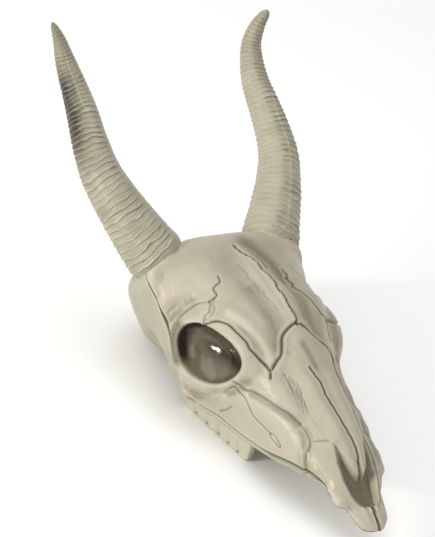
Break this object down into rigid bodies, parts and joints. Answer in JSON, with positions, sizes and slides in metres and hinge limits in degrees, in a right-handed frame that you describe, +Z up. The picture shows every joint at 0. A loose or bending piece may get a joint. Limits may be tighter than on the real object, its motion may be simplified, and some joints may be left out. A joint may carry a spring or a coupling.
{
  "type": "moulded antelope skull replica",
  "caption": "Life-size moulded antelope skull replica with ringed, S-curved horns, blind painted eye bowls, an open nose and a cheek tooth row along each side.",
  "frame": {"origin": "middle of the bounding box, on the floor that the tooth tips and the base of the braincase rest on", "axes": "+Z up, nose towards -Y and horns towards +Y, the animal's left side at +X"},
  "size_m": [0.224, 0.4257, 0.2457],
  "materials": {
    "bone_paint": "moulded plastic painted warm grey ivory, dark wash in the sutures, satin gloss",
    "bare_moulding": "unpainted moulded plastic, pale greenish ivory, satin",
    "horn_paint": "moulded plastic painted olive grey, dark wash between the rings, satin"
  },
  "bodies": {
    "root": {"skull_front": "bone_paint", "skull_back": "bare_moulding", "horn_left": "horn_paint", "horn_right": "horn_paint"}
  },
  "joints": []
}
